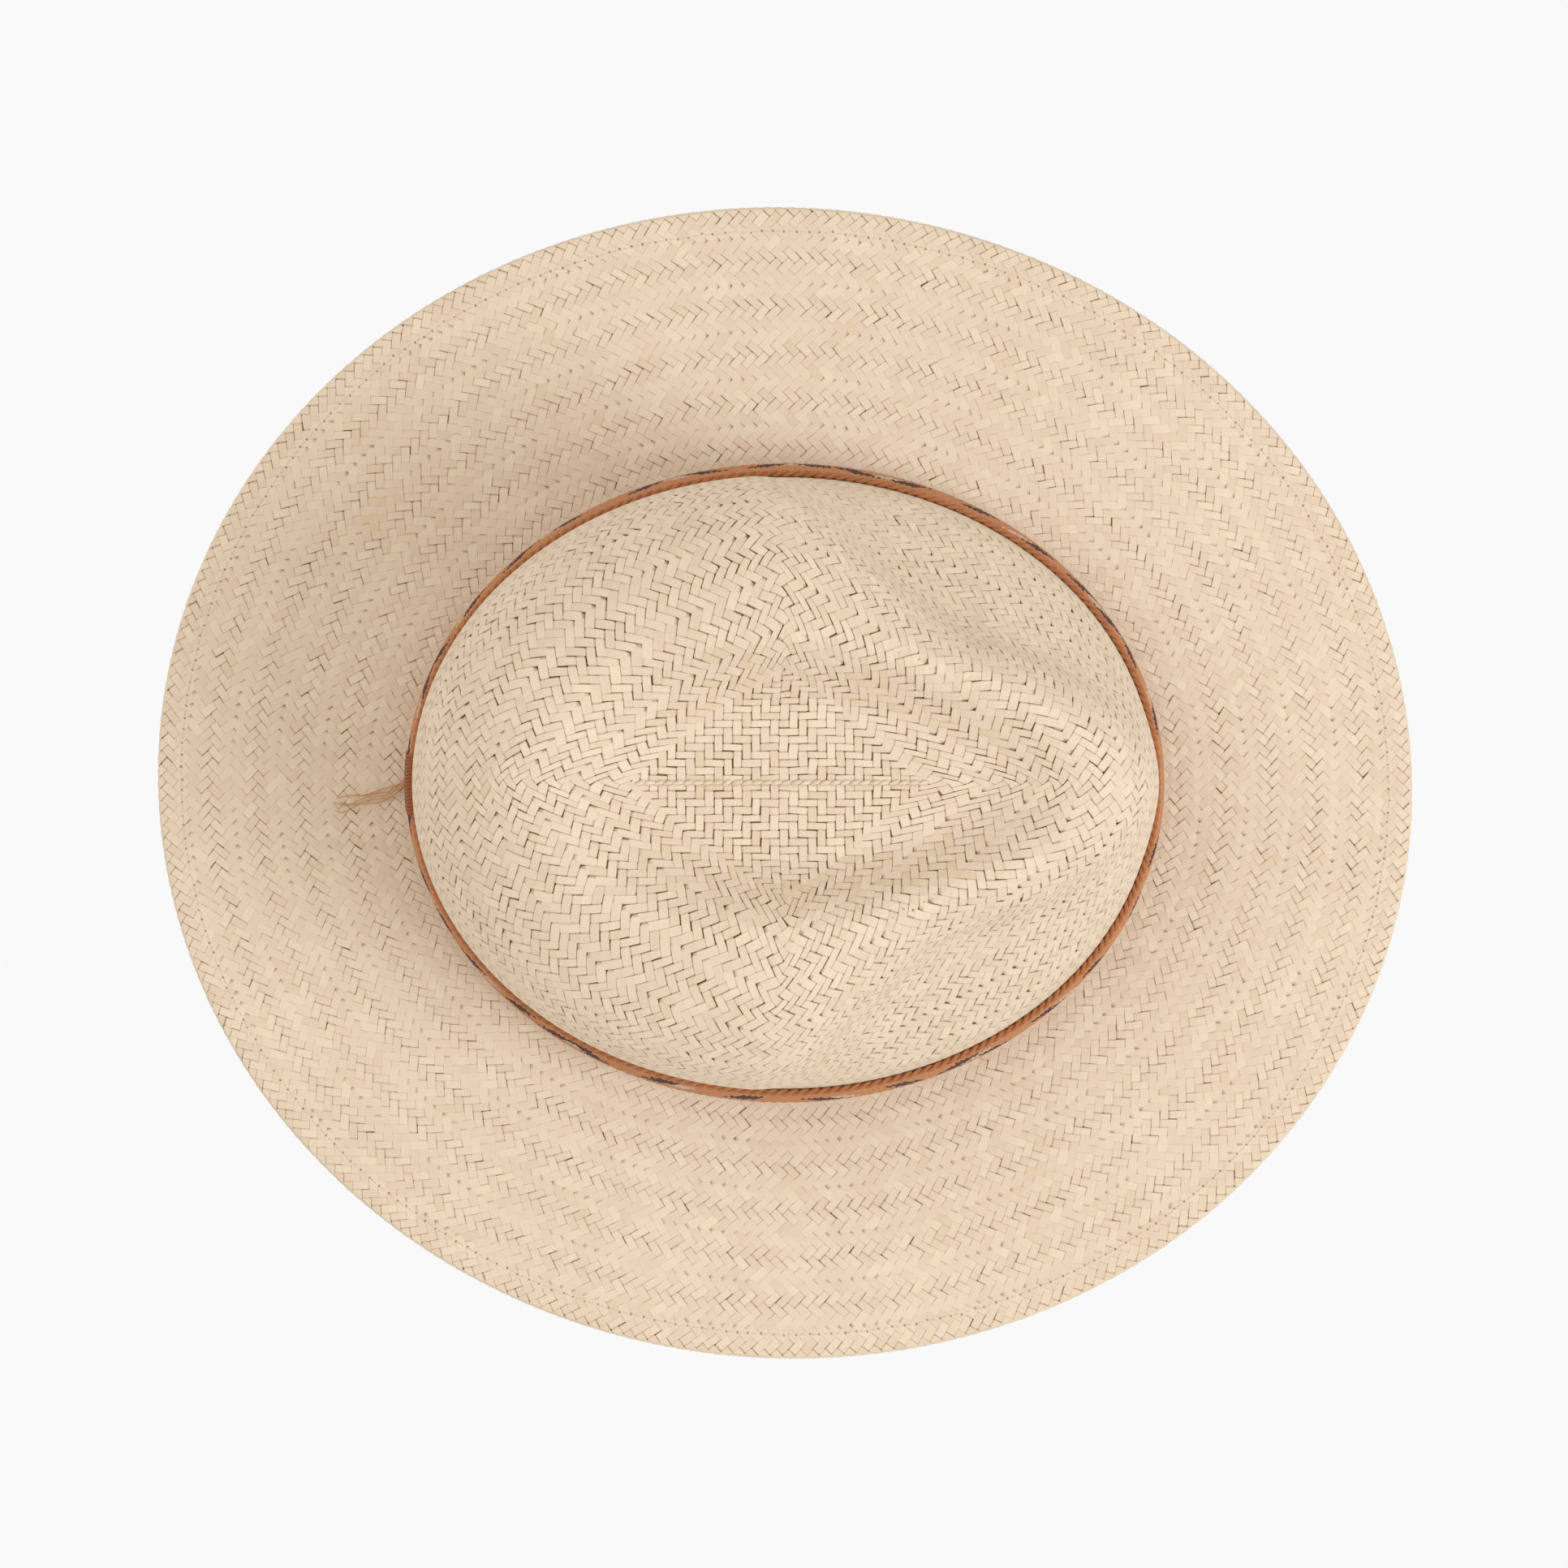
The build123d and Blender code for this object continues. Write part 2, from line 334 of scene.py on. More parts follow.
class Skin:
    """The hat's outer skin as a grid of points: quarter rows outwards, equal turns round."""

    FINE = 4  # grid rings in a row
    TURNS = 720  # meridians worked out
    ROUND = 1440  # even steps round each ring
    BLEND_ROWS = 16  # rows over which the diamonds open out

    def __init__(self, shape, plait):
        """Lays rows along each meridian, then spaces each row's points evenly round the hat.

        Near the middle a row lies at the distance that makes it a diamond. Further out that distance blends
        into an equal share of the meridian, so that rows end level with the collar and the brim's edge.
        """
        dome, wall, brim, edge = meridians(shape, self.TURNS)
        whole = np.concatenate([dome, wall, brim, edge], axis=1)
        along = path_lengths(whole)
        marks = np.cumsum([dome.shape[1], wall.shape[1], brim.shape[1], edge.shape[1]]) - 1
        crown, rim, end = along[:, marks[1], None], along[:, marks[2], None], along[:, marks[3], None]
        self.crown_rows = plait.crown_rows
        self.edge_row = plait.crown_rows + plait.brim_rows
        self.rows = self.edge_row + (end - rim).mean() / plait.row_pitch
        row = np.linspace(0, self.rows, int(self.rows * self.FINE) + 1)[None, :]
        plan = dome[:, 8, :2] - dome[:, 0, :2]
        heading = np.arctan2(plan[:, 1], plan[:, 0])[:, None]
        half = np.array([plait.mat_long, plait.mat_wide]) / (plait.mat_rows * plait.row_pitch)
        slant = np.abs(np.cos(heading)) / half[0] + np.abs(np.sin(heading)) / half[1]
        diamond = row * plait.row_pitch / slant
        blend = smooth(row, plait.mat_rows - 0.5, plait.mat_rows + self.BLEND_ROWS)
        on_crown = (1 - blend) * diamond + blend * crown * row / plait.crown_rows
        on_brim = crown + (rim - crown) * (row - plait.crown_rows) / plait.brim_rows
        on_edge = rim + (end - rim) * (row - self.edge_row) / (self.rows - self.edge_row)
        outside = np.where(row <= self.edge_row, on_brim, on_edge)
        distance = np.where(row <= plait.crown_rows, on_crown, outside)
        rings = resample(whole, along, distance).transpose(1, 0, 2)
        rings = np.concatenate([rings, rings[:, :1]], axis=1)
        travelled = path_lengths(rings)
        self.girth = travelled[:, -1].copy()
        travelled[0] = np.linspace(0, 1e-6, self.TURNS + 1)
        even = np.linspace(0, 1, self.ROUND + 1)[None, :] * travelled[:, -1:]
        self.points = resample(rings, travelled, even)
        across = np.gradient(self.points, axis=0)
        padded = np.concatenate([self.points[:, -2:-1], self.points, self.points[:, 1:2]], axis=1)
        around = padded[:, 2:] - padded[:, :-2]
        normal = np.cross(across, around)
        normal[0] = (0, 0, 1)
        normal /= np.linalg.norm(normal, axis=2, keepdims=True) + 1e-12
        normal[:3] = normal[3].mean(axis=0) / np.linalg.norm(normal[3].mean(axis=0))
        self.normals = normal

    def at(self, turn, row, lift=0.0):
        """Points on the skin, bilinear in the grid and lifted along the normal.

        Rows below 0 cross the middle.
        """
        turn = np.where(row < 0, turn + 0.5, turn) % 1.0
        fine = np.clip(np.abs(row), 0, self.rows - 1e-6) * (len(self.points) - 1) / self.rows
        round_at = turn * self.ROUND
        i, j = fine.astype(int), np.minimum(round_at.astype(int), self.ROUND - 1)
        a, b = (fine - i)[..., None], (round_at - j)[..., None]

        def blend(grid):
            near = grid[i, j] * (1 - b) + grid[i, j + 1] * b
            far = grid[i + 1, j] * (1 - b) + grid[i + 1, j + 1] * b
            return near * (1 - a) + far * a

        normal = blend(self.normals)
        normal /= np.linalg.norm(normal, axis=-1, keepdims=True)
        return blend(self.points) + normal * np.asarray(lift)[..., None]


def straw_counts(skin, plait):
    """Number of straws in each row.

    The square-woven middle gains eight a row. Further out the count follows the row's girth, held for four
    rows at a time and never falling, because straws are only ever added.
    """
    rows = np.arange(int(np.ceil(skin.rows)))
    middle = np.clip((rows // 4 * 4 + 2.0) / skin.rows, 0, 1) * (len(skin.girth) - 1)
    girth = np.interp(middle, np.arange(len(skin.girth)), skin.girth)
    wanted = np.round(girth / plait.row_pitch / 4) * 4
    counts = np.where(rows < plait.mat_rows, 8 * rows + 4, wanted)
    return np.maximum.accumulate(counts).astype(int)


# Mesh making


def make_mesh(name, points, faces, smooth_faces=True, uv=None, tone=None, edge=None):
    """Puts points and faces into a new object. A face that repeats a corner is a triangle.

    The texture coordinates, tone and edge are spread over the points, so one value can serve many of them.
    """
    corners = faces.tolist()
    if (faces == np.roll(faces, -1, axis=1)).any():
        corners = [tuple(dict.fromkeys(face)) for face in corners]
    mesh = bpy.data.meshes.new(name)
    mesh.from_pydata(points.reshape(-1, 3).tolist(), [], corners)
    mesh.polygons.foreach_set("use_smooth", np.full(len(mesh.polygons), smooth_faces))
    if uv is not None:
        corner = np.empty(len(mesh.loops), np.int32)
        mesh.loops.foreach_get("vertex_index", corner)
        layer = mesh.uv_layers.new(name="Along")
        every = np.broadcast_to(uv, (*points.shape[:-1], 2)).reshape(-1, 2)
        layer.data.foreach_set("uv", every[corner].astype(np.float32).ravel())
    for key, value in (("tone", tone), ("edge", edge)):
        if value is not None:
            each = np.broadcast_to(value, points.shape[:-1]).astype(np.float32)
            mesh.attributes.new(key, "FLOAT", "POINT").data.foreach_set("value", each.ravel())
    mesh.update()
    made = bpy.data.objects.new(name, mesh)
    bpy.context.scene.collection.objects.link(made)
    return made


def cap_faces(stations, corners):
    """Both ends of a bar with an even number of corners, each a fan of four-cornered faces."""
    i = np.arange(1, corners - 1, 2)
    fan = together(0 * i, i, i + 1, i + 2)
    return np.concatenate([fan[:, ::-1], fan + (stations - 1) * corners])


def bar_faces(stations, corners):
    """Faces of a closed bar: stations along it, corners round its section, and a cap at both ends."""
    return np.concatenate([grid_faces(stations, corners), cap_faces(stations, corners)])


def pillow_faces(count, stations, corners):
    """Faces of many closed bars alike."""
    one = bar_faces(stations, corners)
    return (one[None] + np.arange(count)[:, None, None] * stations * corners).reshape(-1, 4)


def ring_of(side, up, count, start=0.0):
    """A circle of points round each place, in the plane of two directions."""
    angle = circle(count) + start
    return side[..., None, :] * np.cos(angle)[:, None] + up[..., None, :] * np.sin(angle)[:, None]


def tube(path, radius, sides, closed, frame_up=UP):
    """Tube round a path of points: a circle in the plane across the path, its axes from the path's tangent."""
    if closed:
        tangent = np.roll(path, -1, axis=0) - np.roll(path, 1, axis=0)
    else:
        tangent = np.gradient(path, axis=0)
    tangent /= np.linalg.norm(tangent, axis=1, keepdims=True)
    side = np.cross(tangent, frame_up)
    side /= np.linalg.norm(side, axis=1, keepdims=True) + 1e-12
    up = np.cross(side, tangent)
    reach = np.broadcast_to(np.asarray(radius), (len(path),))[:, None, None]
    return path[:, None] + ring_of(side, up, sides) * reach


def grid_faces(rows, columns, close_rows=False, close_columns=True):
    """Faces of a grid of points, closed round either way."""
    r, c = np.meshgrid(
        np.arange(rows if close_rows else rows - 1),
        np.arange(columns if close_columns else columns - 1),
        indexing="ij",
    )
    r1, c1 = (r + 1) % rows, (c + 1) % columns
    return together(r * columns + c, r * columns + c1, r1 * columns + c1, r1 * columns + c).reshape(-1, 4)


# Plaiting

# Stations along a straw's float, as shares of its visible half length, and the height at each, where 1 is the
# top of the plait and the ends dip under the straws they cross.
STATIONS = np.array([-1.40, -0.86, 0.0, 0.86, 1.40])
HEIGHTS = np.array([-0.55, 0.72, 1.0, 0.72, -0.55])
TAPER = np.array([0.60, 1.0, 1.0, 1.0, 0.60])
SHORT_STATIONS = np.array([-1.3, 0.0, 1.3])
SHORT_HEIGHTS = np.array([-0.4, 1.0, -0.4])
# Section of a straw: shares of its half width, and drops as shares of its rise.
SECTION = np.array([[-0.84, 0.0], [-1.0, 0.55], [1.0, 0.55], [0.84, 0.0]])


def float_profile(side):
    """Stations, heights and width shares along a straw, with fewer on the inner face."""
    if side > 0:
        return STATIONS, HEIGHTS, TAPER
    return SHORT_STATIONS, SHORT_HEIGHTS, np.ones(len(SHORT_STATIONS))


def straw_lift(plait, heights, side, depth):
    """Lift of a straw's points: up from the outer face, or down from the inner one."""
    rise = plait.straw_rise * (heights[:, None] - SECTION[:, 1])
    return rise if side > 0 else -depth - rise


# Spread of a straw's place, lean, width and length about their mean
TURN_SPREAD, TILT_SPREAD, WIDTH_SPREAD, LENGTH_SPREAD = 0.022, 0.035, 0.04, 0.03


def shaded_edges(stations):
    """Shade of a straw's points: none along the top of its float, full at its low corners and its ends."""
    low = SECTION[None, :, 1] > 0
    end = np.abs(stations)[:, None] > 1
    return np.where(low | end, 1.0, 0.0)


def straw_bars(skin, plait, turn, row, tilt, long, wide, steps, tone, side, depth, name):
    """Closed flat straws, one for each centre, that lie on the skin and dip at their ends.

    A point of a straw is its centre plus shares along and across it, turned by its tilt and measured in row
    pitches, then read from the skin's grid and lifted by the profile along it less the section's drop.
    """
    stations, heights, taper = float_profile(side)
    along = stations[None, :, None] * long[:, None, None]
    across = SECTION[None, None, :, 0] * wide[:, None, None] * taper[None, :, None]
    c, s = np.cos(tilt)[:, None, None], np.sin(tilt)[:, None, None]
    over, out = along * c - across * s, along * s + across * c
    lift = straw_lift(plait, heights, side, depth)
    points = skin.at(turn[:, None, None] + over / steps[:, None, None], row[:, None, None] + out, lift)
    faces = pillow_faces(len(turn), len(stations), len(SECTION))[:, ::side]
    grain = together(across + 7.3 * tone[:, None, None], along + 3.1 * row[:, None, None])
    # Painted shade along the straws' edges, weaker on the brim than on the crown
    strength = np.where(row < plait.crown_rows, 1.0, plait.brim_edge_shade)[:, None, None]
    return make_mesh(name, points, faces, False, grain, tone[:, None, None], shaded_edges(stations) * strength)


def strand_tones(turn_index, row, tilt_sign, rng):
    """Tone of each float: half from the straw that it belongs to, half its own.

    A straw that leans one way passes through floats whose number in the row less the row number stays the same,
    and one that leans the other way through those whose sum stays the same.
    """
    table = rng.random(4096)
    strand = (turn_index - tilt_sign * row).astype(int) % 4096
    return np.clip(0.55 * table[strand] + 0.45 * rng.random(len(row)), 0, 1)


def plait_rows(skin, plait, first, last, side, depth, name):
    """All the floats of the rows from first up to last, as one piece.

    Every row's floats lean 45 degrees one way and the next row's the other way, half a pitch along.
    """
    counts = straw_counts(skin, plait)
    rows = np.arange(first, last)
    row = np.repeat(rows, counts[rows])
    start = np.repeat(np.cumsum(counts[rows]) - counts[rows], counts[rows])
    index = np.arange(len(row)) - start
    steps = counts[row].astype(float)
    rng = np.random.default_rng(first * 7 + (side > 0))
    sign = np.where(row % 2 == 0, 1.0, -1.0)
    jitter = rng.normal(0, 1, (4, len(row)))
    turn = (index + 0.5 + 0.5 * (row % 2) + TURN_SPREAD * jitter[0]) / steps
    tilt = sign * np.pi / 4 * (1 + TILT_SPREAD * jitter[1])
    half = np.sqrt(0.5)
    crown_full = np.interp(row, (plait.mat_rows, plait.crown_rows), (plait.mat_fill, plait.crown_fill))
    full = np.where(row < plait.crown_rows, crown_full, plait.brim_fill)
    joint = plait.joint_fill * np.isin(row % 4, (0, 3)) * np.where(row < plait.crown_rows, 0.5, 1.0)
    full = full + joint
    wide = 0.5 * half * full * (1 + WIDTH_SPREAD * np.clip(jitter[2], -2, 1.5))
    long = half * (1 + LENGTH_SPREAD * jitter[3] + joint)
    tone = strand_tones(index, row, sign, rng)
    return straw_bars(skin, plait, turn, row + 0.5, tilt, long, wide, steps, tone, side, depth, name)


def mat_cells(rows):
    """Runs of the square-woven middle: centre, whether it lies along X, and its number of cells.

    A cell of the lattice lies along X where its diamond row is even in the back left and front right quarters,
    and where it is odd in the other two. Neighbouring cells in line that agree are one float.
    """
    size = 2 * rows
    line = np.arange(-size, size) + 0.5
    x, y = np.meshgrid(line, line, indexing="ij")
    diagonal = np.abs(x) + np.abs(y)
    inside = diagonal <= size + 0.01
    ring = np.floor((diagonal - 1) / 2).astype(int)
    flip = (x * y > 0).astype(int)
    flat = (ring + flip) % 2 == 0
    found = []
    for lying in (True, False):
        grid = (flat == lying) & inside
        grid = grid if lying else grid.T
        padded = np.pad(grid, ((1, 1), (0, 0))).astype(int)
        edge = np.diff(padded, axis=0)
        starts = np.argwhere(edge.T == 1)
        ends = np.argwhere(edge.T == -1)
        middle = (starts[:, 1] + ends[:, 1]) / 2 - size
        cross = starts[:, 0] - size + 0.5
        cells = ends[:, 1] - starts[:, 1]
        pair = (middle, cross) if lying else (cross, middle)
        found.append(np.stack([*pair, np.full(len(cells), float(lying)), cells], axis=1))
    return np.concatenate(found)


def mat_place(x, y):
    """Turn and row of a point of the mat's lattice.

    On a diamond the row is half the sum of the two distances, and the turn runs evenly along each side.
    """
    total = np.abs(x) + np.abs(y) + 1e-9
    part = np.abs(y) / total
    front, back = np.where(y >= 0, part, 4 - part), np.where(y >= 0, 2 - part, 2 + part)
    return np.where(x >= 0, front, back) / 4, total / 2


def plait_mat(skin, plait, side, depth, name):
    """The square-woven mat in the middle of the crown, whose straws run along X and Y."""
    cells = mat_cells(plait.mat_rows)
    rng = np.random.default_rng(11)
    jitter = rng.normal(0, 1, (4, len(cells)))
    lying = cells[:, 2] > 0.5
    long = cells[:, 3] / 2 * (1 + LENGTH_SPREAD * jitter[0])
    wide = 0.5 * plait.mat_fill * (1 + 0.05 * np.clip(jitter[1], -2, 1.5))
    stations, heights, taper = float_profile(side)
    overhang = np.sign(stations) * np.maximum(np.abs(stations) - 1, 0)
    along = np.clip(stations, -1, 1)[None, :, None] * long[:, None, None] + overhang[None, :, None]
    across = SECTION[None, None, :, 0] * wide[:, None, None] * taper[None, :, None]
    swing = TILT_SPREAD * jitter[2][:, None, None]
    along, across = along - across * swing, across + along * swing
    lying3 = lying[:, None, None]
    x = cells[:, 0, None, None] + np.where(lying3, along, -across)
    y = cells[:, 1, None, None] + np.where(lying3, across, along)
    turn, row = mat_place(x, y)
    points = skin.at(turn, row, straw_lift(plait, heights, side, depth))
    tones = rng.random(len(cells))[:, None, None]
    faces = pillow_faces(len(cells), len(stations), len(SECTION))[:, ::side]
    grain = together(across * 0.7 + 7.3 * tones, along * 0.7 + 3.1 * cells[:, 1, None, None])
    # The edge attribute carries the painted shade at the straws' low corners and ends
    return make_mesh(name, points, faces, False, grain, tones, shaded_edges(stations))


# Shader expressions


class Sock:
    """One output socket. Operators add Math nodes, so that shader maths reads as plain expressions."""

    def __init__(self, tree, socket):
        self.tree, self.socket = tree, socket

    def math(self, operation, other):
        """Adds one Math node."""
        return self.tree.node("ShaderNodeMath", {"operation": operation}, {0: self, 1: other})

    def __add__(self, other):
        return self.math("ADD", other)

    def __sub__(self, other):
        return self.math("SUBTRACT", other)

    def __mul__(self, other):
        return self.math("MULTIPLY", other)

    __radd__, __rmul__ = __add__, __mul__


class Tree:
    """A material's node tree, ending in one Principled shader."""

    def __init__(self, name, **constants):
        self.material = bpy.data.materials.new(name)
        self.material.use_nodes = True
        self.nodes = self.material.node_tree.nodes
        self.links = self.material.node_tree.links
        self.shader = next(n for n in self.nodes if n.type == "BSDF_PRINCIPLED")
        for key, value in constants.items():
            self.shader.inputs[key.replace("_", " ")].default_value = value

    def node(self, kind, settings=None, inputs=None, output=0):
        """Adds a node: its settings first, then the values or links of its sockets."""
        made = self.nodes.new(kind)
        for key, value in (settings or {}).items():
            if key == "stops":
                for place, tint in value[1:-1]:
                    made.color_ramp.elements.new(place)
                for element, (place, tint) in zip(made.color_ramp.elements, value):
                    element.position, element.color = place, (*tint, 1.0)
            else:
                setattr(made, key, value)
        for key, value in (inputs or {}).items():
            if isinstance(value, Sock):
                self.links.new(value.socket, made.inputs[key])
            else:
                made.inputs[key].default_value = value
        return Sock(self, made.outputs[output])

    def mix(self, factor, first, second):
        """Mixes two colours."""
        first, second = ((*c, 1.0) if isinstance(c, tuple) else c for c in (first, second))
        return self.node("ShaderNodeMix", {"data_type": "RGBA"}, {0: factor, 6: first, 7: second}, output=2)

    def noise(self, vector, scale, detail=2.0, roughness=0.5):
        """Noise between 0 and 1."""
        values = {"Vector": vector, "Scale": scale, "Detail": detail, "Roughness": roughness}
        return self.node("ShaderNodeTexNoise", {}, values)

    def stretch(self, vector, scale):
        """Scales a vector."""
        return self.node("ShaderNodeMapping", {}, {"Vector": vector, "Scale": scale})

    def place(self):
        """Object coordinates."""
        return self.node("ShaderNodeTexCoord", {}, {}, output="Object")

    def along(self):
        """The piece's own UV map."""
        return self.node("ShaderNodeUVMap", {"uv_map": "Along"})

    def tone(self, name="tone"):
        """One of the piece's own attributes."""
        return self.node("ShaderNodeAttribute", {"attribute_name": name}, {}, output="Fac")

    def bump(self, height, distance, strength=1.0):
        """Bump from a height."""
        return self.node("ShaderNodeBump", {}, {"Height": height, "Distance": distance, "Strength": strength})

    def finish(self, **links):
        """Links expressions to the shader's sockets and returns the material."""
        for key, value in links.items():
            self.links.new(value.socket, self.shader.inputs[key.replace("_", " ")])
        return self.material


def material_once(name, make):
    """Returns the named material, making it the first time."""
    return bpy.data.materials.get(name) or make()


def colours():
    """The hat's colours as plain tuples."""
    group = bpy.context.scene.hat_colours
    return {key: tuple(getattr(group, key)) for key in group.__annotations__}


def straw_finish():
    """Flat straw: a tone for each float, fibres along it, slow warm patches, a satin shine and painted shade,
    dark brown at the low edges and dipping ends of each float where it passes under its neighbours.
    """
    tint = colours()
    tree = Tree("plaited_straw", Sheen_Weight=0.05, IOR=1.45, Specular_IOR_Level=0.42)
    fibre = tree.noise(tree.stretch(tree.along(), (12.0, 1.1, 1.0)), 1.0, 3.0, 0.6)
    patch = tree.noise(tree.place(), 22.0, 2.0)
    mask = 0.50 * tree.tone() + 0.50 * fibre + 0.30 * patch - 0.36
    flat = tree.mix(mask, tint["straw"], tint["straw_dark"])
    # Painted shade: the edge attribute darkens the low corners and dipping ends of each float
    colour = tree.mix(0.92 * tree.tone("edge"), flat, tint["straw_edge"])
    rough = 0.40 + 0.25 * fibre
    return tree.finish(Base_Color=colour, Roughness=rough, Normal=tree.bump(fibre, 0.00010, 0.6))


def gap_shade_finish():
    """Painted shade for the depth between the straws: a dark brown, mottled and matt colour standing for the
    shadow in the gaps.
    """
    tint = colours()
    tree = Tree("straw_depth", Specular_IOR_Level=0.1)
    fibre = tree.noise(tree.place(), 900.0, 2.0)
    colour = tree.mix(fibre, tint["straw_core"], tint["straw_dark"])
    return tree.finish(Base_Color=colour, Roughness=0.8 + 0.1 * fibre, Normal=tree.bump(fibre, 0.0001, 0.4))


def yarn_finish(name, ground, shade):
    """Twisted yarn: fine fibres along each strand, darker in places, with a soft sheen."""
    tree = Tree(name, Sheen_Weight=0.12, Sheen_Roughness=0.5, Specular_IOR_Level=0.2)
    fibre = tree.noise(tree.stretch(tree.along(), (30.0, 5.0, 1.0)), 1.0, 3.0, 0.7)
    patch = tree.noise(tree.place(), 240.0, 2.0)
    colour = tree.mix(0.55 * fibre + 0.45 * patch, ground, shade)
    return tree.finish(Base_Color=colour, Roughness=0.75 + 0.2 * fibre, Normal=tree.bump(fibre, 0.00012, 0.8))


def yarn(name, ground, shade):
    """The named yarn in two of the hat's colours, made the first time."""
    tint = colours()
    return material_once(name, lambda: yarn_finish(name, tint[ground], tint[shade]))


def band_finish():
    """Woven band: the tone picks rust, navy or cream for each loop, with fibres over it."""
    tint = colours()
    tree = Tree("patterned_weave", Sheen_Weight=0.12, Sheen_Roughness=0.5, Specular_IOR_Level=0.2)
    stops = [(0.0, tint["navy"]), (0.33, tint["cream"]), (0.60, tint["rust_pale"])]
    colour = tree.node("ShaderNodeValToRGB", {"stops": stops}, {0: tree.tone()})
    ramp = colour.socket.node.color_ramp
    ramp.interpolation = "CONSTANT"
    fibre = tree.noise(tree.stretch(tree.along(), (9.0, 2.0, 1.0)), 1.0, 3.0, 0.7)
    shaded = tree.mix(0.7 * fibre - 0.15, colour, tint["rust_dark"])
    return tree.finish(Base_Color=shaded, Roughness=0.75 + 0.2 * fibre, Normal=tree.bump(fibre, 0.00012, 0.8))


def tape_finish():
    """Sweatband tape: fine ribs with a slow mottle."""
    tint = colours()
    tree = Tree("ribbed_tape", Sheen_Weight=0.25, Specular_IOR_Level=0.2)
    ribs = tree.node("ShaderNodeTexWave", {"bands_direction": "Z"}, {"Vector": tree.place(), "Scale": 260.0})
    mottle = tree.noise(tree.place(), 90.0, 3.0)
    colour = tree.mix(0.35 * mottle + 0.25 * ribs, tint["tape"], tint["straw_dark"])
    return tree.finish(Base_Color=colour, Roughness=0.7 + 0.2 * mottle, Normal=tree.bump(ribs, 0.00018, 0.6))


def dress(piece, body, material):
    """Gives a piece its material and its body."""
    piece.data.materials.append(material)
    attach(piece, body)
    return piece


# Operators

SKINS = {}


def skin_of(scene):
    """The skin for the scene's sizes, worked out once."""
    if "hat" not in SKINS:
        SKINS["hat"] = Skin(scene.hat_shape, scene.hat_plait)
    return SKINS["hat"]


class HAT_OT_straw(bpy.types.Operator):
    """Plaits the outer and inner faces of the crown and brim"""

    bl_idname = "hat.straw"
    bl_label = "Plait the straw"
    CROWN_SPLIT = 26  # row where the crown's plait is parted into two pieces
    BRIM_SPLIT = 12  # row of the brim where its plait is

    def execute(self, context):
        """Makes the mat, the rows of both faces and the core between them, coloured dark brown as painted shade
        in the gaps.
        """
        shape, plait = context.scene.hat_shape, context.scene.hat_plait
        skin = skin_of(context.scene)
        straw = material_once("plaited_straw", straw_finish)
        depth = shape.straw_thickness
        mat, crown, edge = plait.mat_rows, plait.crown_rows, skin.edge_row
        hem_rows = round(shape.hem_width / plait.row_pitch)
        outer = (
            ("crown_top_plait", mat, self.CROWN_SPLIT),
            ("crown_side_plait", self.CROWN_SPLIT, crown),
            ("brim_inner_plait", crown, crown + self.BRIM_SPLIT),
            ("brim_outer_plait", crown + self.BRIM_SPLIT, edge + 1),
        )
        inner = (
            ("crown_inside_plait", mat, crown),
            ("brim_underside_plait", crown, edge - hem_rows + 1),
        )
        pieces = [plait_mat(skin, plait, 1, 0.0, "crown_middle_plait")]
        pieces += [plait_rows(skin, plait, *rows, 1, 0.0, name) for name, *rows in outer]
        pieces.append(plait_mat(skin, plait, -1, depth, "crown_middle_lining_plait"))
        pieces += [plait_rows(skin, plait, *rows, -1, depth, name) for name, *rows in inner]
        for piece in pieces:
            dress(piece, HAT_BODY, straw)
        core = self.core(skin)
        # Painted shade: the core's dark brown stands for the shadow in the gaps between the straws
        dress(core, HAT_BODY, material_once("straw_depth", gap_shade_finish))
        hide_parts("straw_body")
        return {"FINISHED"}

    def core(self, skin):
        """Closed sheet between the two faces: the grid at two depths, joined at the brim's edge. Its dark brown
        is painted shade, seen through the gaps between the straws.
        """
        sides = 360
        row = np.arange(0.5, skin.edge_row + 0.01, 0.5)[:, None]
        turn = np.arange(sides)[None, :] / sides
        upper, lower = (skin.at(turn, row, depth) for depth in CORE_DEPTHS)
        points = np.concatenate([upper, lower[::-1]])
        poles = [skin.at(np.zeros(1), np.zeros(1), depth) for depth in CORE_DEPTHS]
        total, last = len(points) * sides, (len(points) - 1) * sides
        here = np.arange(sides)
        following = (here + 1) % sides
        fans = [
            together(total, following, here, here),
            together(total + 1, last + here, last + following, last + following),
        ]
        faces = np.concatenate([grid_faces(len(points), sides)[:, ::-1], *fans])
        return make_mesh("straw_core", np.concatenate([points.reshape(-1, 3), *poles]), faces)


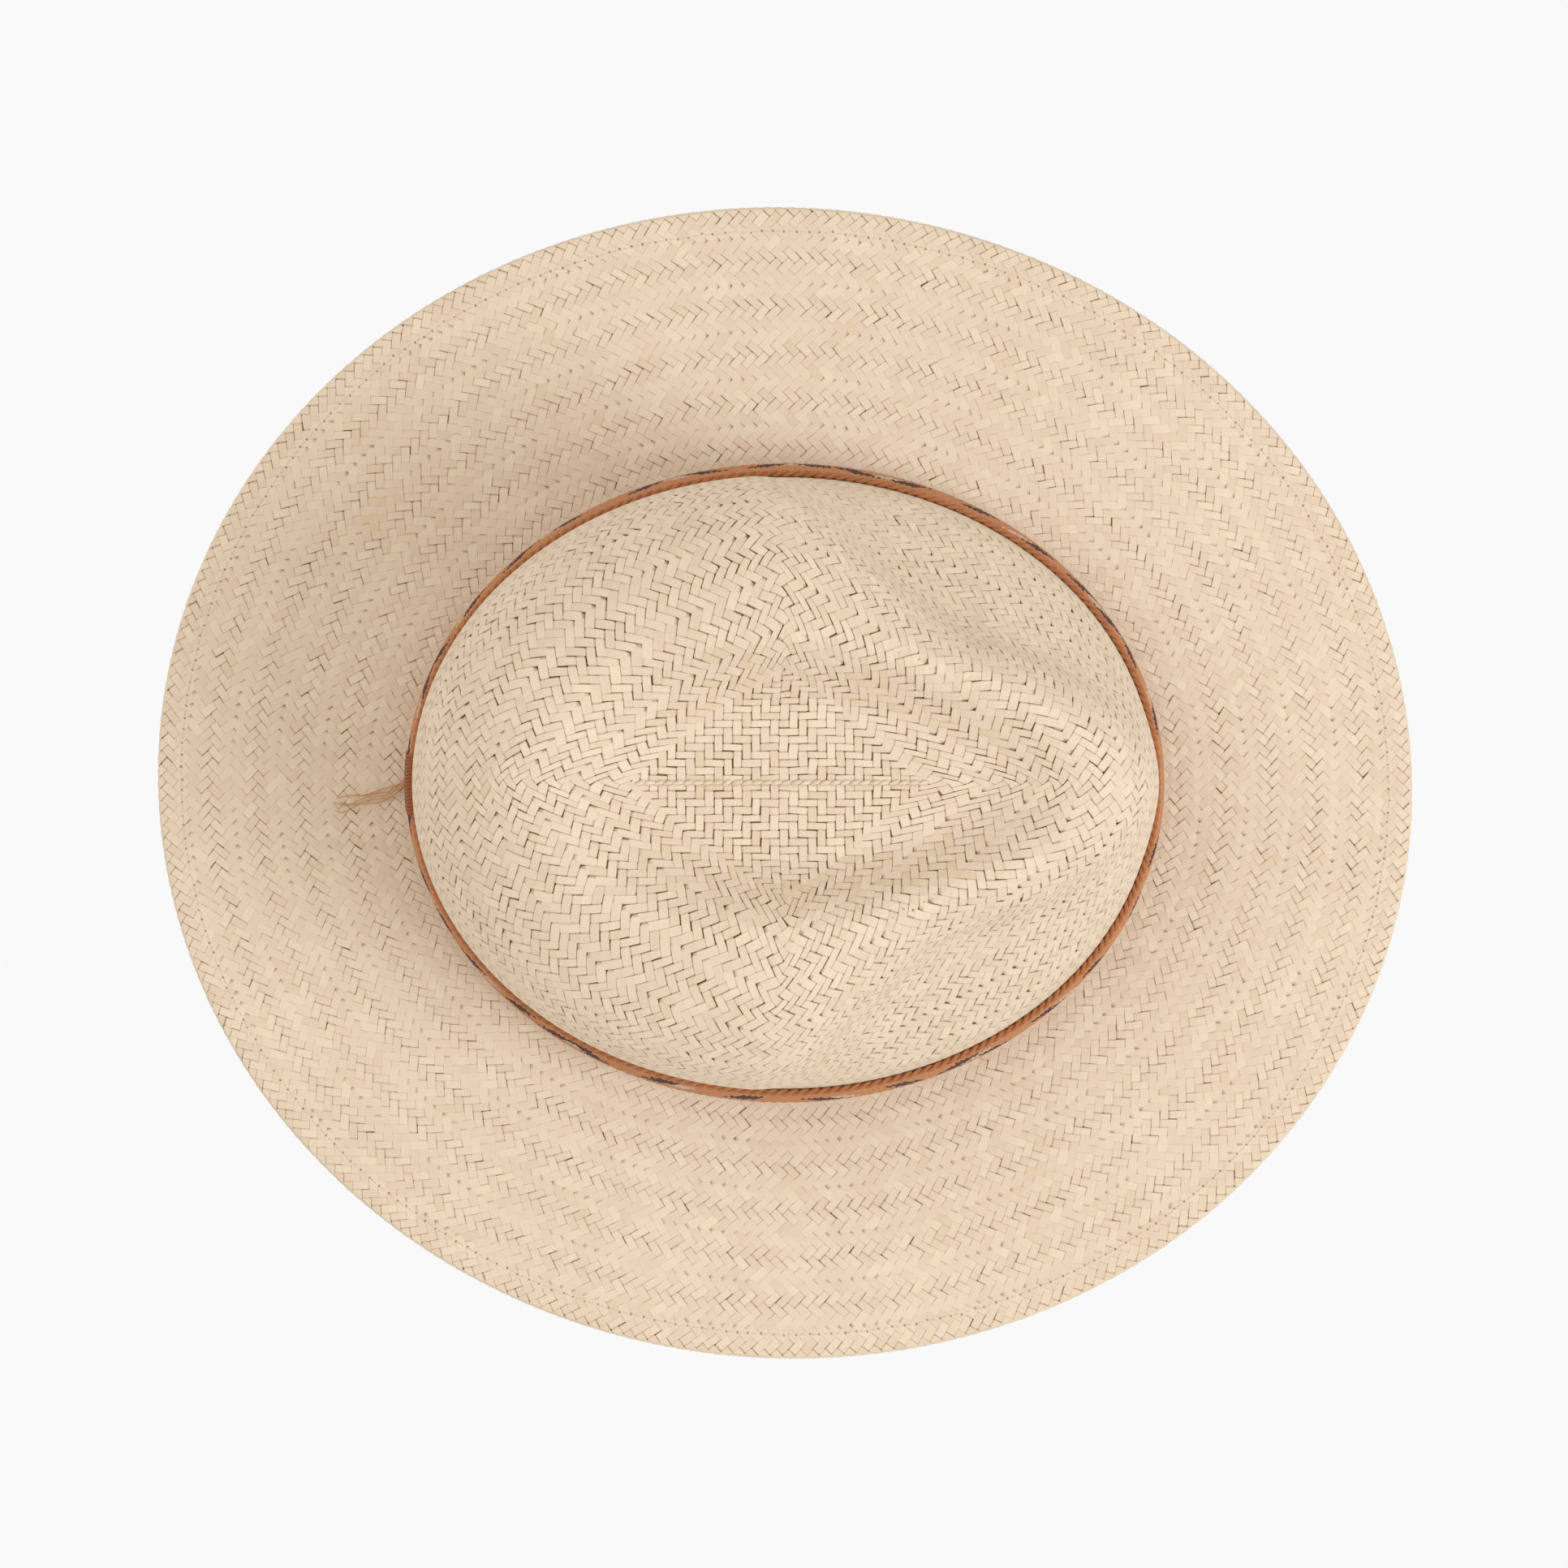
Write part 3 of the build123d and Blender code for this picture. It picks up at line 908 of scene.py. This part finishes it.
class HAT_OT_hem(bpy.types.Operator):
    """Turns the straw under at the brim's edge and sews it down"""

    bl_idname = "hat.hem"
    bl_label = "Fold and sew the hem"

    def execute(self, context):
        """Makes the plait that wraps the edge, the thread that holds it and the needle holes, as dark beads of
        painted shade.
        """
        plait = context.scene.hat_plait
        skin = skin_of(context.scene)
        last = int(np.floor(skin.rows))
        hem = plait_rows(skin, plait, skin.edge_row + 1, last, 1, 0.0, "hem_plait")
        dress(hem, HAT_BODY, material_once("plaited_straw", straw_finish))
        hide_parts("brim_hem")
        stitch_row = skin.edge_row - round(STITCH_INSET / plait.row_pitch) + 0.5
        count = int(straw_counts(skin, plait)[int(stitch_row)])
        self.thread(skin, stitch_row, count)
        self.holes(skin, stitch_row, count)
        return {"FINISHED"}

    def thread(self, skin, stitch_row, count):
        """Stitches: each dips into the straw at both ends and stands over it between them."""
        turn, row = (np.arange(count)[:, None] + 0.5) / count, np.full((count, 1), stitch_row)
        reach = np.array([-0.40, -0.24, 0.0, 0.24, 0.40])
        lift = np.array([-0.0004, 0.00032, 0.00046, 0.00032, -0.0004])
        line = skin.at(turn + reach / count, row + 0 * reach, lift + 0 * turn)
        out = skin.at(turn, row + 0.2) - skin.at(turn, row)
        out /= np.linalg.norm(out, axis=2, keepdims=True)
        points = line[:, :, None, :] + THREAD_RADIUS * ring_of(out, UP, 4, np.pi / 4)
        tones = np.random.default_rng(5).random(count)[:, None, None]
        grain = together(tones * 3, tones + reach[None, :, None])
        thread = make_mesh("hem_thread", points, pillow_faces(count, 5, 4)[:, ::-1], uv=grain, tone=tones)
        dress(thread, HAT_BODY, yarn("fine_thread", "straw_dark", "straw"))
        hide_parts("hem_stitching")

    def holes(self, skin, stitch_row, count):
        """Needle holes: one small six-sided bead between two stitches, sunk in the straw and coloured dark brown
        as painted shade inside each hole.
        """
        rng = np.random.default_rng(8)
        angle = circle(6)
        level = np.array([-0.0004, 0.00047])[None, :, None]
        turn = (np.arange(count) + 0.08 * rng.normal(0, 1, count))[:, None, None] / count
        size = (0.12 + 0.04 * rng.random(count))[:, None, None] * np.array([1.0, 0.8])[None, :, None]
        row = stitch_row + 0.05 * rng.normal(0, 1, count)[:, None, None] + size * np.sin(angle)
        points = skin.at(turn + size * np.cos(angle) / count, row, level + 0 * row)
        holes = make_mesh("needle_holes", points, pillow_faces(count, 2, 6), uv=np.full(2, 0.5), tone=0.5)
        # Painted shade: the holes take the dark gap colour
        dress(holes, HAT_BODY, material_once("straw_depth", gap_shade_finish))


class HAT_OT_start_line(bpy.types.Operator):
    """Knots the start line across the middle of the crown"""

    bl_idname = "hat.start_line"
    bl_label = "Knot the start line"

    def execute(self, context):
        """Makes a row of small slanted knots along X."""
        skin = skin_of(context.scene)
        size = 2 * context.scene.hat_plait.mat_rows - 1
        x = np.arange(-size, size + 0.5, 1.05)
        rng = np.random.default_rng(3)
        slant = np.radians(24) + rng.normal(0, 0.10, len(x))
        t = np.linspace(-1, 1, 7)
        reach = 0.78 * t
        turn, row = mat_place(
            x[:, None] + reach * np.cos(slant)[:, None], 0.8 * reach * np.sin(slant)[:, None]
        )
        line = skin.at(turn, row, 0.00015 + 0.00075 * (1 - t**2) + 0 * turn)
        fat = 0.00062 * np.sqrt(np.clip(1.04 - t**2, 0.05, 1))[None, :, None, None]
        across = together(-np.sin(slant), np.cos(slant), 0.0)[:, None, :]
        points = line[:, :, None, :] + fat * ring_of(across, 0.6 * UP, 6)
        tones = rng.random(len(x))[:, None, None]
        grain = together(np.cos(circle(6)) * 0.4 + tones * 5, tones + t[None, :, None])
        knots = make_mesh("start_line_knots", points, pillow_faces(len(x), 7, 6), uv=grain, tone=tones)
        dress(knots, HAT_BODY, material_once("plaited_straw", straw_finish))
        return {"FINISHED"}


def band_pattern(column, row, columns, rows):
    """Tone of each loop of the band: slanted navy dashes, some with a cream dash beside them, on rust.

    Dashes stand at uneven steps round the band and at uneven heights. A loop is in a dash if it lies within the
    dash's half length after the slant is taken off, and within its half height.
    """
    rng = np.random.default_rng(17)
    centre = np.cumsum(rng.integers(7, 16, 60))
    centre = centre[centre < columns - 6]
    lean, level = rng.choice([-0.8, 0.8], len(centre)), rng.uniform(-1.5, 3.5, len(centre))
    up = row[:, None] - (rows - 1) / 2 - level
    across = (column[:, None] - centre + columns / 2) % columns - columns / 2 - lean * up
    navy = ((np.abs(across) < 2.1) & (np.abs(up) < 2.6)).any(axis=1)
    beside = (np.abs(across - 4.2) < 1.6) & (np.abs(up) < 1.8) & (np.arange(len(centre)) % 2 == 0)
    return np.where(navy, 0.15, np.where(beside.any(axis=1), 0.45, 0.8))


class HAT_OT_band(bpy.types.Operator):
    """Weaves the hat band with its two edge cords"""

    bl_idname = "hat.band"
    bl_label = "Weave the band"

    def execute(self, context):
        """Makes the strap's loops, its backing and both cords."""
        shape = context.scene.hat_shape
        rust = yarn("rust_yarn", "rust", "rust_dark")
        low, high = LOWER_HIGH[2], UPPER_LOW[2]
        loops = self.loops(shape, low, high)
        dress(loops, BAND_BODY, material_once("patterned_weave", band_finish))
        dress(self.backing(shape, low, high), BAND_BODY, rust)
        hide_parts("hat_band")
        ends = {"band_lower_cord": (LOWER_LOW, LOWER_HIGH), "band_upper_cord": (UPPER_LOW, UPPER_HIGH)}
        for node, (under, over) in ends.items():
            cord = self.cord(node + "_twist", (under[2] + over[2]) / 2, over[2] - under[2], shape)
            dress(cord, BAND_BODY, rust)
            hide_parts(node)
        return {"FINISHED"}

    def loops(self, shape, low, high):
        """Closed pillows in columns and rows, which lean one way and the other from row to row.

        The face swells by 1 less the square of the height between the cords, and a little more at its foot.
        """
        columns, rows = 400, 14
        column, row = (g.ravel() for g in np.meshgrid(np.arange(columns), np.arange(rows), indexing="ij"))
        turn = ((column + 0.5 * (row % 2)) / columns)[:, None, None]
        step = (high - low) / rows
        t = np.array([-1.0, -0.6, 0.0, 0.6, 1.0])[None, :, None]
        bulge = np.array([-0.00045, 0.0, 0.00022, 0.0, -0.00045])[None, :, None]
        half = np.array([-1.0, -0.6, 0.6, 1.0])
        sink = np.array([-0.0004, 0.0, 0.0, -0.0004])
        slant = 0.35 * np.where(row % 2 == 0, 1, -1)[:, None, None]
        u, v = 0.62 * t, 0.50 * half + 0.4 * slant * t
        height = (low + (row + 0.5) * step)[:, None, None] + v * step
        up = 2 * (height - low) / (high - low) - 1
        belly = shape.band_belly * (1 - up**2 + 0.35 * (1 - up))
        off = shape.wall_gap + STRAP_THICKNESS - 0.0001 + belly + bulge + sink
        points = round_wall(turn + u / columns, height, off, shape)
        tones = band_pattern(column, row, columns, rows)[:, None, None]
        own = 20 * np.random.default_rng(9).random(len(row))[:, None, None]
        grain = together(v + own, u + own)
        return make_mesh("band_loops", points, pillow_faces(len(row), 5, 4), uv=grain, tone=tones)

    def backing(self, shape, low, high):
        """The strap under its loops: a closed ring with a four-sided section."""
        around = np.arange(300) / 300
        level = np.array([low, high, high, low])[:, None]
        face = shape.wall_gap + STRAP_THICKNESS - 0.0004
        points = round_wall(around, level, np.array([face, face, shape.wall_gap, shape.wall_gap])[:, None], shape)
        faces = grid_faces(4, 300, close_rows=True)
        return make_mesh("band_backing", points, faces, uv=together(around * 300, level * 500), tone=0.8)

    def cord(self, name, height, diameter, shape):
        """Two plies wound round each other: two helices about a ring that follows the wall."""
        turns, per, sides = 110, 14, 8
        count = turns * per
        turn = np.arange(count) / count
        radius = diameter / 2
        middle, swing = shape.wall_gap + radius, 0.46 * radius
        points, faces, grains = [], [], []
        for ply in range(2):
            phase = 2 * np.pi * (turn * turns + ply / 2)
            path = round_wall(turn, height + swing * np.sin(phase), middle + swing * np.cos(phase), shape)
            points.append(tube(path, 0.56 * radius, sides, True))
            faces.append(grid_faces(count, sides, close_rows=True) + ply * count * sides)
            grains.append(together(np.arange(sides) * 0.12 + ply, turn[:, None] * 600))
        points, faces, grain = (np.concatenate(part) for part in (points, faces, grains))
        return make_mesh(name, points, faces[:, ::-1], uv=grain, tone=0.5)


class HAT_OT_join(bpy.types.Operator):
    """Winds the whipping at the back of the band and lets its loose ends fall on the brim"""

    bl_idname = "hat.join"
    bl_label = "Wind the join"

    def execute(self, context):
        """Makes the wound thread and the loose tails."""
        shape = context.scene.hat_shape
        low, high = LOWER_LOW[2] + 0.0006, UPPER_HIGH[2] + 0.0003
        half = (JOIN_HIGH[1] - JOIN_LOW[1]) / 2
        winds, per, sides = 17, 20, 8
        t = np.arange(winds * per + 1) / per
        phase = 2 * np.pi * t
        height = (low + high) / 2 + (high - low) / 2 * squared(np.sin(phase), 0.35)
        off = 0.00175 + 0.00095 * squared(np.cos(phase), 0.5)
        turn = turn_behind(-half + 2 * half * t / winds, height, shape)
        wound = tube(round_wall(turn, height, off, shape), 0.00052, sides, False, np.array([0.0, 1.0, 0.0]))
        grain = together(np.arange(sides) * 0.15, t[:, None] * 9)
        whipping = make_mesh("join_whipping", wound, bar_faces(len(t), sides)[:, ::-1], uv=grain, tone=0.5)
        dress(whipping, BAND_BODY, yarn("whipping_yarn", "whipping", "rust_dark"))
        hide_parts("band_join")
        self.tails(shape)
        return {"FINISHED"}

    def tails(self, shape):
        """Loose thread ends.

        Each leaves the join, drops to the brim in a short curve and wanders back along it.
        """
        rng = np.random.default_rng(21)
        s = np.linspace(0, 1, 26)
        points, faces, grains = [], [], []
        sides = 6
        root_x = JOIN_LOW[0] - 0.0002
        foot, base, edge = foot_height(shape), foot_half_axes(shape)[0], edge_height(shape)
        run = brim_half_axes(shape)[0] - shape.hem_width - base
        for n in range(5):
            reach = 0.0175 + 0.002 * rng.random() - 0.005 * (n > 3)
            x = root_x - reach * s
            bend = rng.normal(0, 0.0007, 2)
            fall = 0.0062 * (1 - np.exp(-3.2 * s)) * (1 - 0.25 * s**2)
            y = (n - 2) * 0.0006 * (1 + 0.6 * s) - fall + bend[0] * np.sin(4 * s) + bend[1] * np.sin(9 * s) * s
            ground = foot - (foot - edge) * np.clip((-x - base) / run, 0, 1) + 0.00095
            start = LOWER_LOW[2] + 0.0022 + 0.001 * rng.random()
            z = ground + (start - ground[0]) * np.exp(-s * 7) + 0.0002 * rng.random()
            points.append(tube(together(x, y, z), 0.00017 * (1 - 0.35 * s), sides, False))
            faces.append(bar_faces(len(s), sides) + n * len(s) * sides)
            grains.append(together(np.arange(sides) * 0.15 + n, s[:, None] * 12))
        points, faces, grain = (np.concatenate(part) for part in (points, faces, grains))
        tails = make_mesh("loose_tails", points, faces[:, ::-1], uv=grain, tone=0.5)
        dress(tails, BAND_BODY, yarn("faded_yarn", "tail", "rust_pale"))
        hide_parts("band_tails")


class HAT_OT_sweatband(bpy.types.Operator):
    """Makes the sweatband, its stitching and the tape over its seam"""

    bl_idname = "hat.sweatband"
    bl_label = "Sew in the sweatband"

    def execute(self, context):
        """Makes three closed pieces inside the collar."""
        shape = context.scene.hat_shape
        outer = -shape.straw_thickness - shape.sweat_gap
        tape = material_once("ribbed_tape", tape_finish)
        band = self.band(shape, outer - SWEAT_THICKNESS / 2)
        dress(band, HAT_BODY, tape)
        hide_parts("sweatband")
        stitches = self.stitches(shape, outer - SWEAT_THICKNESS)
        dress(stitches, HAT_BODY, yarn("fine_thread", "straw_dark", "straw"))
        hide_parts("sweatband_stitching")
        tab = self.seam(shape, outer - SWEAT_THICKNESS)
        dress(tab, HAT_BODY, tape)
        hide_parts("sweatband_seam_tab")
        return {"FINISHED"}

    def band(self, shape, middle):
        """A ring with a flattened oval section, whose inner face is rippled by its ribs."""
        sides, steps = 28, 360
        around = np.arange(steps) / steps
        low, high = SWEAT_LOW[2], SWEAT_HIGH[2]
        level = (low + high) / 2 + (high - low) / 2 * squared(np.sin(circle(sides)), 0.12)[:, None]
        belly = SWEAT_THICKNESS / 2 * squared(np.cos(circle(sides)), 0.5)[:, None]
        ripple = 0.00018 * np.sin(2 * np.pi * around * 23) * (belly < 0)
        points = round_wall(around, level, middle + belly + ripple, shape)
        faces = grid_faces(sides, steps, close_rows=True)[:, ::-1]
        return make_mesh("sweatband_tape", points, faces, uv=together(around * 300, level * 300), tone=0.5)

    def stitches(self, shape, off):
        """Short crowned stitches round the foot of the sweatband's inner face."""
        count = 190
        turn = ((np.arange(count) + 0.5) / count)[:, None, None]
        t = np.linspace(-1, 1, 5)[None, :, None]
        lift = THREAD_RADIUS * (np.cos(circle(4)) - (1 - t**2))
        height = (SWEAT_STITCH_LOW[2] + SWEAT_STITCH_HIGH[2]) / 2 + 0.00024 * np.sin(circle(4))
        points = round_wall(turn + 0.36 * t / count, height, off + lift, shape)
        faces = pillow_faces(count, 5, 4)
        return make_mesh("sweatband_stitches", points, faces, uv=together(turn * 100, t), tone=0.5)

    def seam(self, shape, off):
        """Crowned tab over the seam: a rounded patch that follows the wall, thickest in its middle."""
        low, high = SEAM_LOW[2], SEAM_HIGH[2]
        half = (SEAM_HIGH[1] - SEAM_LOW[1]) / 2
        s, t = np.meshgrid(np.linspace(-1, 1, 25), np.linspace(-1, 1, 41), indexing="ij")
        height = (low + high) / 2 + t * (high - low) / 2
        turn = turn_behind(s * half, height, shape)
        crown = 0.00012 + 0.00048 * (1 - s**8) * (1 - t**8)
        face = round_wall(turn, height, off - crown, shape)
        back = round_wall(turn, height, off, shape)
        columns, rows = s.shape
        r = np.arange(columns - 1)
        quad = together(r, r + 1, 2 * columns - 2 - r, 2 * columns - 1 - r) * rows
        sides = [quad, quad[:, ::-1] + rows - 1]
        faces = np.concatenate([grid_faces(2 * columns, rows, close_rows=True, close_columns=False), *sides])
        grain = together(np.concatenate([s, s]) * 8, np.concatenate([t, t]) * 12)
        return make_mesh("seam_tab", np.concatenate([face, back[::-1]]), faces, uv=grain, tone=0.5)


class HAT_OT_stage(bpy.types.Operator):
    """Lays the pale floor, the soft lights and the camera above the hat"""

    bl_idname = "hat.stage"
    bl_label = "Set the stage"
    SURROUND = (0.665, 0.600, 0.515, 1.0)  # what lights the hat
    BACKDROP = (0.947, 0.947, 0.947, 1.0)  # what the camera sees
    LAMP_COLOUR = (0.94, 1.0, 1.10)
    LAMPS = {
        "key_light": ((1.25, -0.55, 1.45), 0.9, 17.5),
        "fill_light": ((-1.1, 0.6, 1.8), 1.6, 11.0),
    }

    def execute(self, context):
        """Makes floor, world, lights and camera."""
        scene = context.scene
        mesh = bpy.data.meshes.new("floor")
        size, drop = 3.0, -0.0006
        outline = ((-size, -size), (size, -size), (size, size), (-size, size))
        mesh.from_pydata([(*point, drop) for point in outline], [], [(0, 1, 2, 3)])
        floor = bpy.data.objects.new("floor", mesh)
        scene.collection.objects.link(floor)
        pale = Tree("pale_floor", Base_Color=(0, 0, 0, 1), Specular_IOR_Level=0.0, Emission_Strength=1.0)
        mottle = pale.noise(pale.place(), 6.0)
        white = pale.mix(mottle, (0.945, 0.945, 0.945), (0.95, 0.95, 0.95))
        mesh.materials.append(pale.finish(Emission_Color=white, Roughness=0.9 + 0.05 * mottle))
        world = bpy.data.worlds.new("studio")
        world.use_nodes = True
        shown = world.node_tree.nodes.new("ShaderNodeLightPath")
        tint = world.node_tree.nodes.new("ShaderNodeMix")
        tint.data_type = "RGBA"
        tint.inputs[6].default_value = self.SURROUND
        tint.inputs[7].default_value = self.BACKDROP
        world.node_tree.links.new(shown.outputs["Is Camera Ray"], tint.inputs[0])
        world.node_tree.links.new(tint.outputs[2], world.node_tree.nodes["Background"].inputs["Color"])
        scene.world = world
        for name, values in self.LAMPS.items():
            self.light(name, *values)
        camera_data = bpy.data.cameras.new("camera")
        camera_data.lens = 123.8
        camera = bpy.data.objects.new("camera", camera_data)
        camera.location = (-0.0003, -0.0003, 1.5)
        scene.collection.objects.link(camera)
        scene.camera = camera
        scene.view_settings.view_transform = "Standard"
        return {"FINISHED"}

    def light(self, name, place, size, power):
        """Adds a soft square light that faces the hat."""
        data = bpy.data.lights.new(name, "AREA")
        data.size, data.energy, data.color = size, power, self.LAMP_COLOUR
        lamp = bpy.data.objects.new(name, data)
        lamp.location = place
        lamp.rotation_euler = (-Vector(place)).to_track_quat("-Z", "Y").to_euler()
        bpy.context.scene.collection.objects.link(lamp)


OPERATORS = (
    HAT_OT_straw,
    HAT_OT_hem,
    HAT_OT_start_line,
    HAT_OT_band,
    HAT_OT_join,
    HAT_OT_sweatband,
    HAT_OT_stage,
)
GROUPS = {"hat_shape": HatShape, "hat_plait": PlaitSettings, "hat_colours": HatColours}


class HAT_PT_panel(bpy.types.Panel):
    """Lists the hat's sizes, colours and pieces"""

    bl_label = "Straw Hat"
    bl_idname = "HAT_PT_panel"
    bl_space_type = "VIEW_3D"
    bl_region_type = "UI"
    bl_category = "Straw Hat"

    def draw(self, context):
        """Draws a button for each piece and a field for each size."""
        for operator in OPERATORS:
            self.layout.operator(operator.bl_idname)
        for name, group in GROUPS.items():
            for key in group.__annotations__:
                self.layout.prop(getattr(context.scene, name), key)


def register():
    """Registers the property groups, operators and panel."""
    for name, group in GROUPS.items():
        bpy.utils.register_class(group)
        setattr(bpy.types.Scene, name, bpy.props.PointerProperty(type=group))
    for cls in (*OPERATORS, HAT_PT_panel):
        bpy.utils.register_class(cls)


def unregister():
    """Removes everything that register added."""
    for cls in reversed((*OPERATORS, HAT_PT_panel)):
        bpy.utils.unregister_class(cls)
    for name, group in GROUPS.items():
        delattr(bpy.types.Scene, name)
        bpy.utils.unregister_class(group)


def main():
    """Makes every piece in order."""
    register()
    for operator in OPERATORS:
        group, name = operator.bl_idname.split(".")
        getattr(getattr(bpy.ops, group), name)()


if __name__ == "__main__":
    main()
